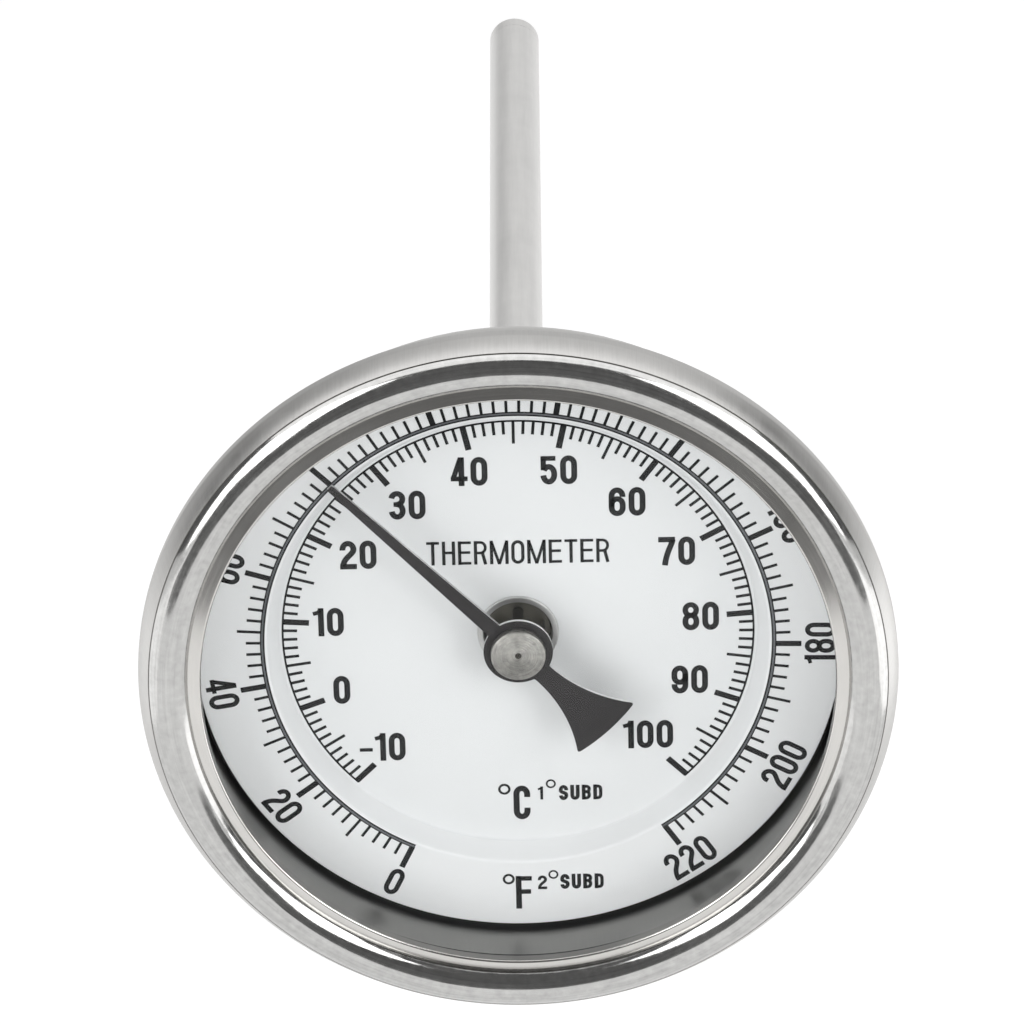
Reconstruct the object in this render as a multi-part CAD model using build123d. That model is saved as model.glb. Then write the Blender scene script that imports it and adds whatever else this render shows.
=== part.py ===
from build123d import *
import math
import os

# Back-connected bimetal dial thermometer with a 3 inch case, millimetres.
# The origin is the centre of the hex shoulder, where the pipe thread starts.
# +Y runs along the stem to its tip, the dial faces -Y, +Z is 12 o'clock.

os.makedirs("parts", exist_ok=True)

# ---- driving dimensions ----------------------------------------------------
SHEET = 0.7                 # wall of the drawn case
CASE_BORE_R = 36.3          # bore around the dial
CASE_BACK_Y = -8.0          # outside of the case's flat back
CASE_CORNER_R = 8.0         # outside corner between the wall and the back
WINDOW_BORE_R = 37.2        # wider bore around the window
LEDGE_Y = -23.5             # step that the window stands on
FLANGE_FRONT_Y = -26.0      # front of the case's outward flange
FLANGE_R = 40.3

BEZEL_OPEN_R = 34.6         # opening of the bezel
BEZEL_LIP_Y = -27.6         # lip at the opening
BEZEL_CREASE_R = 36.5       # where the lip meets the round nose
BEZEL_CREASE_Y = -28.1
BEZEL_CREST_R = 38.3        # furthest forward
BEZEL_CREST_Y = -28.6
BEZEL_NOSE_R = 40.05        # where the round nose meets the shoulder
BEZEL_NOSE_Y = -27.5
BEZEL_SHOULDER_R = 40.98    # middle of the rounded shoulder
BEZEL_SHOULDER_Y = -26.5
BEZEL_OUT_R = 41.5
BEZEL_SIDE_Y = -25.3        # the outer wall turns straight here
BEZEL_BACK_Y = -24.0
BEZEL_HEM_R = 38.2          # hem folded behind the flange
BEZEL_BORE_R = 40.6

GASKET = 0.6
WINDOW_R = 37.0
WINDOW_T = 2.0

DIAL_R = 36.0
DIAL_T = 0.6
DIAL_Y = -15.0              # face of the sunk inner zone
RIM_Y = -17.7               # face of the raised outer zone
RIM_IN_R = 27.7
SUNK_R = 26.4

POINTER_REST = -44.2        # degrees clockwise from 12 o'clock, 27 C
POINTER_Y = -19.7
POINTER_T = 0.4
TIP_R = 28.8
TIP_HALF_W = 0.42
ROOT_HALF_W = 0.85
BOSS_R = 3.82
TAIL_R = 14.3
TAIL_HALF_ANGLE = 19.3
TAIL_NECK_HALF_W = 1.15
CAP_R = 3.03
CAP_Y = -20.6

SHAFT_R = 0.6
RUNNING_GAP = 0.03
SLEEVE_R = 1.6

POST_R = 3.5
POST_WALL = 0.5
POST_TOP_Y = -14.2
POST_FLANGE_R = 6.4
POST_FLANGE_Y = -13.0
POST_SEAT_Y = -10.3
BUSH_BARREL_R = 4.0
BUSH_FLANGE_R = 4.5
BUSH_GAP = 0.05

MODULE = 0.5
SECTOR_TEETH = 60           # counted as if the sector were a full wheel
PINION_TEETH = 10
SECTOR_HALF_ANGLE = 27.0
GEAR_Y = -14.4              # front face of the sector
GEAR_T = 1.0
BACKLASH = 0.08
CENTRE_DISTANCE = MODULE * (SECTOR_TEETH + PINION_TEETH) / 2

HEX_AF = 22.2
HEX_LENGTH = 7.0
NECK_R = 10.5
SPIGOT_R = 7.0
SPIGOT_TOP_Y = -9.5
THREAD_BIG_R = 10.62        # half inch taper pipe thread
THREAD_LENGTH = 20.0
THREAD_PITCH = 1.814
THREAD_DEPTH = 1.2
THREAD_TAPER = 1 / 32       # radius lost per length
THREAD_START_Y = 1.6
RELIEF_R = 9.3

STEM_R = 3.175
STEM_SPIGOT_R = 2.95
STEM_BORE_R = 2.45
STEM_END_Y = 150.0
TIP_CAP = 2.6
TIP_EDGE = 0.8

COIL_R = 1.9                # middle of the strip
COIL_STRIP_T = 0.3
COIL_STRIP_W = 2.2
COIL_PITCH = 3.0
COIL_START_Y = 102.0
COIL_TURNS = 12

RESET_POS_Z = -CENTRE_DISTANCE
RESET_SHANK_R = 1.5
RESET_END_R = 1.0
RESET_HEAD_R = 3.0
RESET_HEAD_T = 1.5
RESET_SEAL_T = 0.5


# ---- helpers ---------------------------------------------------------------
def lathe(outline):
    """Turn a closed outline of (radius, station) points about the stem axis."""
    return revolve(make_face(Polyline(*outline, close=True)), Axis.Y, 360)


def tube(r_out, r_in, y_low, y_high):
    """Ring or tube on the stem axis; r_in of 0 gives a solid rod."""
    return lathe([(r_in, y_low), (r_out, y_low), (r_out, y_high), (r_in, y_high)])


def at_reset(solid):
    """Move a piece from the stem axis to the reset screw's axis."""
    return Pos(0, 0, RESET_POS_Z) * solid


def save(solid, node):
    export_step(solid, f"parts/{node}.step")


def toothed_outline(teeth, first, last, addendum, dedendum, thin):
    """Points of involute teeth number first to last, on Plane.XZ, tooth 0 at 12 o'clock."""
    pitch_r = MODULE * teeth / 2
    base_r = pitch_r * math.cos(math.radians(20))
    tip_r = pitch_r + addendum * MODULE
    root_r = pitch_r - dedendum * MODULE
    start_r = max(base_r, root_r + 0.02)

    def involute(radius):
        angle = math.acos(min(1.0, base_r / radius))
        return math.tan(angle) - angle

    half_tooth = math.pi / (2 * teeth) - thin / (2 * pitch_r) + involute(pitch_r)
    steps = 4
    radii = [start_r + (tip_r - start_r) * k / steps for k in range(steps + 1)]
    points = []
    for tooth in range(first, last + 1):
        middle = 2 * math.pi * tooth / teeth
        flank = [(radius, half_tooth - involute(radius)) for radius in radii]
        left = [(root_r, -flank[0][1])] + [(radius, -a) for radius, a in flank]
        right = [(radius, a) for radius, a in reversed(flank)] + [(root_r, flank[0][1])]
        for radius, angle in left + right:
            points.append((radius * math.sin(middle + angle), radius * math.cos(middle + angle)))
    return points


def flat_piece(face, y_front, thickness):
    """Thicken a face drawn on Plane.XZ from its front station towards the stem tip."""
    return Pos(0, y_front, 0) * extrude(face, thickness, dir=(0, 1, 0))


def xz_face(points):
    return make_face(Plane.XZ * Polyline(*points, close=True))


# ---- case ------------------------------------------------------------------
def case_cup():
    wall_r = CASE_BORE_R + SHEET
    window_wall_r = WINDOW_BORE_R + SHEET
    inner_corner = CASE_CORNER_R - SHEET
    turn_y = CASE_BACK_Y - CASE_CORNER_R
    back_in_y = CASE_BACK_Y - SHEET
    diagonal = math.sqrt(0.5)
    outer_mid = (wall_r - CASE_CORNER_R * (1 - diagonal), turn_y + CASE_CORNER_R * diagonal)
    inner_mid = (CASE_BORE_R - inner_corner * (1 - diagonal), turn_y + inner_corner * diagonal)
    outline = [
        Polyline(
            (SPIGOT_R, CASE_BACK_Y),
            (wall_r - CASE_CORNER_R, CASE_BACK_Y),
        ),
        ThreePointArc((wall_r - CASE_CORNER_R, CASE_BACK_Y), outer_mid, (wall_r, turn_y)),
        Polyline(
            (wall_r, turn_y),
            (wall_r, LEDGE_Y + SHEET),
            (window_wall_r, LEDGE_Y + SHEET),
            (window_wall_r, FLANGE_FRONT_Y + SHEET),
            (FLANGE_R, FLANGE_FRONT_Y + SHEET),
            (FLANGE_R, FLANGE_FRONT_Y),
            (WINDOW_BORE_R, FLANGE_FRONT_Y),
            (WINDOW_BORE_R, LEDGE_Y),
            (CASE_BORE_R, LEDGE_Y),
            (CASE_BORE_R, turn_y),
        ),
        ThreePointArc((CASE_BORE_R, turn_y), inner_mid, (CASE_BORE_R - inner_corner, back_in_y)),
        Polyline(
            (CASE_BORE_R - inner_corner, back_in_y),
            (SPIGOT_R, back_in_y),
            (SPIGOT_R, CASE_BACK_Y),
        ),
    ]
    cup = revolve(make_face(Wire(sum((piece.edges() for piece in outline), ShapeList()))), Axis.Y, 360)
    return cup - at_reset(tube(2.5, 0, CASE_BACK_Y - 5, CASE_BACK_Y + 5))


def bezel_ring():
    underside_y = FLANGE_FRONT_Y - GASKET
    hem_y = FLANGE_FRONT_Y + SHEET
    lip_edge = 0.35
    side_edge = 0.5
    outline = [
        Line((BEZEL_OPEN_R, underside_y), (BEZEL_OPEN_R, BEZEL_LIP_Y + lip_edge)),
        Line((BEZEL_OPEN_R, BEZEL_LIP_Y + lip_edge), (BEZEL_OPEN_R + lip_edge, BEZEL_LIP_Y - 0.18)),
        Line((BEZEL_OPEN_R + lip_edge, BEZEL_LIP_Y - 0.18), (BEZEL_CREASE_R, BEZEL_CREASE_Y)),
        ThreePointArc(
            (BEZEL_CREASE_R, BEZEL_CREASE_Y),
            (BEZEL_CREST_R, BEZEL_CREST_Y),
            (BEZEL_NOSE_R, BEZEL_NOSE_Y),
        ),
        ThreePointArc(
            (BEZEL_NOSE_R, BEZEL_NOSE_Y),
            (BEZEL_SHOULDER_R, BEZEL_SHOULDER_Y),
            (BEZEL_OUT_R, BEZEL_SIDE_Y),
        ),
        Polyline(
            (BEZEL_OUT_R, BEZEL_SIDE_Y),
            (BEZEL_OUT_R, BEZEL_BACK_Y - side_edge),
            (BEZEL_OUT_R - side_edge, BEZEL_BACK_Y),
            (BEZEL_HEM_R, BEZEL_BACK_Y),
            (BEZEL_HEM_R, hem_y),
            (BEZEL_BORE_R, hem_y),
            (BEZEL_BORE_R, underside_y),
            (BEZEL_OPEN_R, underside_y),
        ),
    ]
    return revolve(make_face(Wire(sum((piece.edges() for piece in outline), ShapeList()))), Axis.Y, 360)


def window_glass():
    back_y = FLANGE_FRONT_Y + WINDOW_T
    chamfer = 0.3
    return lathe([
        (0, FLANGE_FRONT_Y),
        (WINDOW_R - chamfer, FLANGE_FRONT_Y),
        (WINDOW_R, FLANGE_FRONT_Y + chamfer),
        (WINDOW_R, back_y - chamfer),
        (WINDOW_R - chamfer, back_y),
        (0, back_y),
    ])


def front_gasket():
    return tube(FLANGE_R - 0.2, BEZEL_OPEN_R + 0.6, FLANGE_FRONT_Y - GASKET, FLANGE_FRONT_Y)


def rear_gasket():
    return tube(WINDOW_BORE_R - 0.1, CASE_BORE_R, FLANGE_FRONT_Y + WINDOW_T, LEDGE_Y)


# ---- dial and its reset gear -----------------------------------------------
def dial_plate():
    slope = math.atan2(DIAL_Y - RIM_Y, RIM_IN_R - SUNK_R)
    shift = DIAL_T * math.tan(slope / 2)
    return lathe([
        (BUSH_BARREL_R, DIAL_Y),
        (SUNK_R, DIAL_Y),
        (RIM_IN_R, RIM_Y),
        (DIAL_R, RIM_Y),
        (DIAL_R, RIM_Y + DIAL_T),
        (RIM_IN_R + shift, RIM_Y + DIAL_T),
        (SUNK_R + shift, DIAL_Y + DIAL_T),
        (BUSH_BARREL_R, DIAL_Y + DIAL_T),
    ])


def dial_bush():
    """Flanged bush in the dial's hole, turning on the bearing post."""
    bore = POST_R + BUSH_GAP
    flange_t = 0.35
    barrel_end = POST_FLANGE_Y - 0.1
    return lathe([
        (bore, DIAL_Y - flange_t),
        (BUSH_FLANGE_R - 0.2, DIAL_Y - flange_t),
        (BUSH_FLANGE_R, DIAL_Y),
        (BUSH_BARREL_R, DIAL_Y),
        (BUSH_BARREL_R, barrel_end),
        (bore, barrel_end),
    ])


def dial_sector():
    """Toothed sector behind the dial, teeth centred on 6 o'clock."""
    side_teeth = int(SECTOR_HALF_ANGLE / 360 * SECTOR_TEETH)
    teeth = toothed_outline(SECTOR_TEETH, -side_teeth, side_teeth, 0.8, 1.2, BACKLASH)
    web = xz_face([(-5.0, 4.0)] + teeth + [(5.0, 4.0)])
    disc = Plane.XZ * Circle(9.0)
    hole = Plane.XZ * Circle(BUSH_BARREL_R)
    sector = flat_piece(web, GEAR_Y, GEAR_T) + flat_piece(disc, GEAR_Y, GEAR_T)
    return Rot(0, 180, 0) * (sector - flat_piece(hole, GEAR_Y, GEAR_T))


def dial_spring_washer():
    """Spring washer with three humps that holds the dial where it is set."""
    ring_y = POST_FLANGE_Y - 0.2
    hump_y = GEAR_Y + GEAR_T + 0.02
    ring = tube(POST_FLANGE_R, BUSH_BARREL_R + 0.3, ring_y, POST_FLANGE_Y)
    for hump in range(3):
        pad = Pos(0, 0, 5.35) * tube(0.9, 0, hump_y, ring_y)
        ring += Rot(0, 120 * hump + 30, 0) * pad
    return ring


def bearing_post():
    """Fixed post under the dial, seated on the upper bush's flange."""
    bore = POST_R - POST_WALL
    return lathe([
        (bore, POST_TOP_Y),
        (POST_R, POST_TOP_Y),
        (POST_R, POST_FLANGE_Y),
        (POST_FLANGE_R, POST_FLANGE_Y),
        (POST_FLANGE_R, POST_SEAT_Y),
        (bore, POST_SEAT_Y),
    ])


def reset_screw():
    head_low = CASE_BACK_Y + RESET_SEAL_T
    head_high = head_low + RESET_HEAD_T
    groove_r = 1.2
    screw = lathe([
        (0, GEAR_Y + 0.1),
        (RESET_END_R, GEAR_Y + 0.1),
        (RESET_END_R, GEAR_Y + GEAR_T + 0.4),
        (RESET_SHANK_R, GEAR_Y + GEAR_T + 0.4),
        (RESET_SHANK_R, -10.1),
        (groove_r, -10.1),
        (groove_r, -9.7),
        (RESET_SHANK_R, -9.7),
        (RESET_SHANK_R, head_low),
        (RESET_HEAD_R, head_low),
        (RESET_HEAD_R, head_high - 0.3),
        (RESET_HEAD_R - 0.3, head_high),
        (0, head_high),
    ])
    slot = Pos(0, head_high, 0) * Box(8.0, 1.6, 0.9)
    return at_reset(screw - slot)


def reset_pinion():
    """Small wheel on the reset screw, its tooth gap facing the sector's middle tooth."""
    teeth = toothed_outline(PINION_TEETH, 0, PINION_TEETH - 1, 0.9, 1.1, BACKLASH)
    wheel = flat_piece(xz_face(teeth), GEAR_Y + 0.1, GEAR_T + 0.2)
    half_tooth = 180 / PINION_TEETH
    return at_reset(Rot(0, half_tooth, 0) * wheel - tube(RESET_END_R, 0, GEAR_Y - 1, GEAR_Y + GEAR_T + 1))


def reset_bush():
    bore = RESET_SHANK_R + RUNNING_GAP
    back_in_y = CASE_BACK_Y - SHEET
    return at_reset(lathe([
        (bore, back_in_y - 0.8),
        (3.4, back_in_y - 0.8),
        (3.4, back_in_y),
        (2.5, back_in_y),
        (2.5, CASE_BACK_Y),
        (bore, CASE_BACK_Y),
    ]))


def reset_seal():
    return at_reset(tube(2.7, RESET_SHANK_R + 0.05, CASE_BACK_Y, CASE_BACK_Y + RESET_SEAL_T - 0.02))


def reset_clip():
    clip = tube(2.5, 1.2, -10.08, -9.72)
    mouth = Pos(0, -9.9, -2.0) * Box(1.8, 1.0, 3.0)
    return at_reset(clip - mouth)


# ---- pointer and its drive -------------------------------------------------
def pointer():
    """Flat pointer at 12 o'clock with a ring boss and a fan-shaped tail, turned to rest."""
    neck_y = 3.2
    needle = xz_face([
        (-ROOT_HALF_W, neck_y),
        (-TIP_HALF_W, TIP_R - 0.3),
        (-TIP_HALF_W + 0.15, TIP_R),
        (TIP_HALF_W - 0.15, TIP_R),
        (TIP_HALF_W, TIP_R - 0.3),
        (ROOT_HALF_W, neck_y),
    ])
    spread = math.radians(TAIL_HALF_ANGLE)
    corner_r = TAIL_R - 0.25
    corner = (corner_r * math.sin(spread), -corner_r * math.cos(spread))
    waist = (1.95, -8.9)
    neck = (TAIL_NECK_HALF_W, -neck_y)
    tail_edges = [
        Line((-neck[0], neck[1]), neck),
        ThreePointArc(neck, waist, corner),
        ThreePointArc(corner, (0, -TAIL_R), (-corner[0], corner[1])),
        ThreePointArc((-corner[0], corner[1]), (-waist[0], waist[1]), (-neck[0], neck[1])),
    ]
    tail = make_face(Plane.XZ * Wire(sum((edge.edges() for edge in tail_edges), ShapeList())))
    boss = Plane.XZ * Circle(BOSS_R)
    hole = Plane.XZ * Circle(SLEEVE_R)
    plate = flat_piece(needle, POINTER_Y, POINTER_T) + flat_piece(tail, POINTER_Y, POINTER_T)
    far_edges = plate.edges().filter_by(Axis.Y).group_by(Axis.Z)[0]
    plate = fillet(far_edges, 0.5)
    plate = plate + flat_piece(boss, POINTER_Y, POINTER_T) - flat_piece(hole, POINTER_Y, POINTER_T)
    return Rot(0, POINTER_REST, 0) * plate


def pointer_hub():
    """Turned hub: a cap over the pointer and a sleeve pressed on the shaft."""
    groove_y = POINTER_Y - 0.25
    sleeve_end = POINTER_Y + 2.9
    chamfer = 0.15
    return lathe([
        (0, CAP_Y + 0.12),
        (0.3, CAP_Y + 0.12),
        (0.45, CAP_Y),
        (CAP_R - chamfer, CAP_Y),
        (CAP_R, CAP_Y + chamfer),
        (CAP_R, groove_y),
        (CAP_R - 0.3, groove_y),
        (CAP_R - 0.3, POINTER_Y),
        (SLEEVE_R, POINTER_Y),
        (SLEEVE_R, sleeve_end),
        (SHAFT_R, sleeve_end),
        (SHAFT_R, POINTER_Y),
        (0, POINTER_Y),
    ])


def pointer_shaft():
    return tube(SHAFT_R, 0, POINTER_Y, COIL_START_Y - 1.0)


def coil_collet():
    """Collet on the shaft's end that the coil's moving end is fixed to."""
    return tube(COIL_R - COIL_STRIP_T / 2, SHAFT_R, COIL_START_Y - 4.0, COIL_START_Y - 1.0) + tube(
        COIL_R - COIL_STRIP_T / 2, 0, COIL_START_Y - 1.0, COIL_START_Y + 0.5
    )


def bimetal_coil():
    """Flat strip wound as a helix between the collet and the anchor."""
    height = COIL_PITCH * COIL_TURNS
    path = Helix(COIL_PITCH, height, COIL_R)
    section = Plane(origin=path @ 0, x_dir=(1, 0, 0), z_dir=(0, 1, 0)) * Rectangle(COIL_STRIP_T, COIL_STRIP_W)
    strip = sweep(section, path, is_frenet=True)
    return Pos(0, COIL_START_Y + COIL_STRIP_W / 2, 0) * Rot(-90, 0, 0) * strip


def coil_anchor():
    """Post on the tip plug that holds the coil's fixed end."""
    low = COIL_START_Y + COIL_PITCH * COIL_TURNS - 1.5
    return tube(COIL_R - COIL_STRIP_T / 2, 0, low, STEM_END_Y - TIP_CAP - 5.0)


def upper_bush():
    return lathe([
        (SHAFT_R + RUNNING_GAP, POST_SEAT_Y),
        (POST_FLANGE_R, POST_SEAT_Y),
        (POST_FLANGE_R, SPIGOT_TOP_Y),
        (STEM_BORE_R, SPIGOT_TOP_Y),
        (STEM_BORE_R, -5.5),
        (SHAFT_R + RUNNING_GAP, -5.5),
    ])


def lower_bush():
    return tube(STEM_BORE_R, SHAFT_R + RUNNING_GAP, 92.0, 95.0)


# ---- stem and connector ----------------------------------------------------
def stem_tube():
    return lathe([
        (STEM_BORE_R, SPIGOT_TOP_Y),
        (STEM_SPIGOT_R, SPIGOT_TOP_Y),
        (STEM_SPIGOT_R, THREAD_LENGTH),
        (STEM_R, THREAD_LENGTH),
        (STEM_R, STEM_END_Y - TIP_CAP),
        (STEM_BORE_R, STEM_END_Y - TIP_CAP),
    ])


def stem_tip():
    """Plug welded into the stem's end, with a rounded edge."""
    plug_start = STEM_END_Y - TIP_CAP - 5.0
    plug = lathe([
        (0, plug_start),
        (STEM_BORE_R, plug_start),
        (STEM_BORE_R, STEM_END_Y - TIP_CAP),
        (STEM_R, STEM_END_Y - TIP_CAP),
        (STEM_R, STEM_END_Y),
        (0, STEM_END_Y),
    ])
    return fillet(plug.edges().group_by(Axis.Y)[-1], TIP_EDGE)


def thread_outline():
    """Crests and roots of the taper thread as rings, from the shoulder to the end."""
    points = [(RELIEF_R, 0.0), (RELIEF_R, THREAD_START_Y)]
    turns = int((THREAD_LENGTH - THREAD_START_Y) / THREAD_PITCH)
    for turn in range(turns):
        root_y = THREAD_START_Y + turn * THREAD_PITCH
        crest_y = root_y + THREAD_PITCH / 2
        crest_r = THREAD_BIG_R - crest_y * THREAD_TAPER
        points.append((crest_r - THREAD_DEPTH, root_y + 0.05))
        points.append((crest_r, crest_y - 0.08))
        points.append((crest_r, crest_y + 0.08))
    end_r = THREAD_BIG_R - THREAD_LENGTH * THREAD_TAPER - THREAD_DEPTH
    return points + [(end_r, THREAD_START_Y + turns * THREAD_PITCH), (end_r, THREAD_LENGTH)]


def process_connector():
    hex_face = Plane.XZ * RegularPolygon(HEX_AF / 2, 6, major_radius=False)
    hexagon = flat_piece(hex_face, -HEX_LENGTH, HEX_LENGTH)
    corner_r = HEX_AF / math.sqrt(3)
    chamfer = 0.9
    envelope = lathe([
        (0, -HEX_LENGTH),
        (corner_r - chamfer, -HEX_LENGTH),
        (corner_r + 0.1, -HEX_LENGTH + chamfer / 2),
        (corner_r + 0.1, -chamfer / 2),
        (corner_r - chamfer, 0),
        (0, 0),
    ])
    neck = tube(NECK_R, 0, CASE_BACK_Y, -HEX_LENGTH)
    spigot = tube(SPIGOT_R, 0, SPIGOT_TOP_Y, CASE_BACK_Y)
    thread = lathe([(0, 0)] + thread_outline() + [(0, THREAD_LENGTH)])
    body = (hexagon & envelope) + neck + spigot + thread
    return body - tube(STEM_SPIGOT_R, 0, SPIGOT_TOP_Y - 1, THREAD_LENGTH + 1)


PIECES = [
    case_cup,
    bezel_ring,
    window_glass,
    front_gasket,
    rear_gasket,
    dial_plate,
    dial_bush,
    dial_sector,
    dial_spring_washer,
    bearing_post,
    reset_screw,
    reset_pinion,
    reset_bush,
    reset_seal,
    reset_clip,
    pointer,
    pointer_hub,
    pointer_shaft,
    coil_collet,
    bimetal_coil,
    coil_anchor,
    upper_bush,
    lower_bush,
    stem_tube,
    stem_tip,
    process_connector,
]

for piece in PIECES:
    save(piece(), piece.__name__)
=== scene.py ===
import math

import bmesh
import bpy
from mathutils import Matrix, Vector


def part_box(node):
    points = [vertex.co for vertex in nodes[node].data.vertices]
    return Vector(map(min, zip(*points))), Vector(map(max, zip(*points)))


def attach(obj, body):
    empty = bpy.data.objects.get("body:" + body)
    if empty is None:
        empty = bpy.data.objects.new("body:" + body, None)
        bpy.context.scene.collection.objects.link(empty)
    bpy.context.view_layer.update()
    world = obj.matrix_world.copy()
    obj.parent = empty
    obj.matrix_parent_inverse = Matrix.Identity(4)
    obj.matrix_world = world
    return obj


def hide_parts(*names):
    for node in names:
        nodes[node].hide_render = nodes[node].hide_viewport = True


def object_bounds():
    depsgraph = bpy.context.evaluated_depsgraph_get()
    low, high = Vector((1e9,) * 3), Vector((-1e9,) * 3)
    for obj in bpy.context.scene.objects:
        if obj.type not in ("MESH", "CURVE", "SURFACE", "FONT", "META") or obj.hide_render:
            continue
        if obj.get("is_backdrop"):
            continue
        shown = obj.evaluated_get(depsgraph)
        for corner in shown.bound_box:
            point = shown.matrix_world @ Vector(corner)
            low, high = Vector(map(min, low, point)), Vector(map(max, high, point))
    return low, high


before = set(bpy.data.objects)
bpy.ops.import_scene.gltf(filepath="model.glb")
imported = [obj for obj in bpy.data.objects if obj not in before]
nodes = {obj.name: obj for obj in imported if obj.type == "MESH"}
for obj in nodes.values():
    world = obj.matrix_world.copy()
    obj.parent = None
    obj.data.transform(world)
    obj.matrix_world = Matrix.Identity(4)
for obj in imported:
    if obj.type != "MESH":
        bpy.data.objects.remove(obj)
cad_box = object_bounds()

MM = 0.001
TAU = 2 * math.pi

# Stations along the stem axis and radii in millimetres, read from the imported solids.
dial_low, dial_high = (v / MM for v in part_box("dial_plate"))
bezel_low, bezel_high = (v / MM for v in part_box("bezel_ring"))
stem_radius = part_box("stem_tube")[1].x / MM
tip_low, tip_high = (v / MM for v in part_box("stem_tip"))
bush_low, bush_high = (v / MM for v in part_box("dial_bush"))
hub_low, hub_high = (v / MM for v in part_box("pointer_hub"))
hand_low, hand_high = (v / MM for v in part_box("pointer"))
body_low, body_high = (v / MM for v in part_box("process_connector"))

RIM_Y = dial_low.y               # face of the dial's raised outer zone
DISH = 2.7                       # how deep the inner zone is sunk
DIAL_Y = RIM_Y + DISH
DIAL_R = dial_high.x
BEZEL_R = bezel_high.x
CASE_WALL_R = 36.7               # between the case's bore and its outside
CASE_BORE_END = -16.3            # the case's rounded corner starts behind this station
REST_ANGLE = -44.2               # the pointer at rest, clockwise from 12 o'clock


# ---------------------------------------------------------------- node helpers
def new_material(name):
    mat = bpy.data.materials.new(name)
    mat.use_nodes = True
    tree = mat.node_tree
    bsdf = tree.nodes["Principled BSDF"]
    return mat, tree, bsdf


def node(tree, kind, **settings):
    n = tree.nodes.new(kind)
    for key, value in settings.items():
        setattr(n, key, value)
    return n


def feed(tree, socket, value):
    """Put a number into a socket, or join another node's output to it."""
    if isinstance(value, (int, float)):
        socket.default_value = value
    else:
        tree.links.new(value, socket)


def maths(tree, operation, *values):
    n = node(tree, "ShaderNodeMath", operation=operation)
    for socket, value in zip(n.inputs, values):
        feed(tree, socket, value)
    return n.outputs[0]


def place_on_object(tree):
    """The shaded point in the object's own space, in metres."""
    return node(tree, "ShaderNodeTexCoord").outputs["Object"]


def polar(tree):
    """Angle about the stem axis in radians, and distance from it and station along it in millimetres."""
    point = place_on_object(tree)
    split = node(tree, "ShaderNodeSeparateXYZ")
    tree.links.new(point, split.inputs[0])
    x, y, z = (maths(tree, "MULTIPLY", socket, 1 / MM) for socket in split.outputs)
    angle = maths(tree, "ARCTAN2", x, z)
    squares = maths(tree, "ADD", maths(tree, "MULTIPLY", x, x), maths(tree, "MULTIPLY", z, z))
    return angle, maths(tree, "SQRT", squares), y, point


def scaled(tree, value, factor):
    """A colour or a vector times a number or a socket."""
    n = node(tree, "ShaderNodeVectorMath", operation="SCALE")
    tree.links.new(value, n.inputs[0])
    feed(tree, n.inputs["Scale"], factor)
    return n.outputs[0]


def vector(tree, x, y, z=0.0):
    n = node(tree, "ShaderNodeCombineXYZ")
    for socket, value in zip(n.inputs, (x, y, z)):
        feed(tree, socket, value)
    return n.outputs[0]


def noise(tree, coords, scale, detail, roughness=0.5):
    n = node(tree, "ShaderNodeTexNoise")
    n.inputs["Scale"].default_value = scale
    n.inputs["Detail"].default_value = detail
    n.inputs["Roughness"].default_value = roughness
    tree.links.new(coords, n.inputs["Vector"])
    return n.outputs["Fac"]


def ramp(tree, fac, stops):
    n = node(tree, "ShaderNodeValToRGB")
    elements = n.color_ramp.elements
    while len(elements) < len(stops):
        elements.new(0.5)
    for element, (place, colour) in zip(elements, stops):
        element.position = place
        element.color = (*colour, 1.0)
    tree.links.new(fac, n.inputs[0])
    return n.outputs[0]


def grey(v):
    return (v, v, v)


def ranged(tree, value, low, high, out_low, out_high):
    n = node(tree, "ShaderNodeMapRange")
    for k, v in enumerate((low, high, out_low, out_high)):
        n.inputs[k + 1].default_value = v
    tree.links.new(value, n.inputs[0])
    return n.outputs[0]


def around(tint, down, up):
    """Two colours, darker and paler than the tint by these shares."""
    return tuple(c * (1 - down) for c in tint), tuple(min(1.0, c * (1 + up)) for c in tint)


def bump(tree, bsdf, height, strength, distance=0.00002):
    n = node(tree, "ShaderNodeBump")
    n.inputs["Strength"].default_value = strength
    n.inputs["Distance"].default_value = distance
    tree.links.new(height, n.inputs["Height"])
    tree.links.new(n.outputs[0], bsdf.inputs["Normal"])


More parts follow.
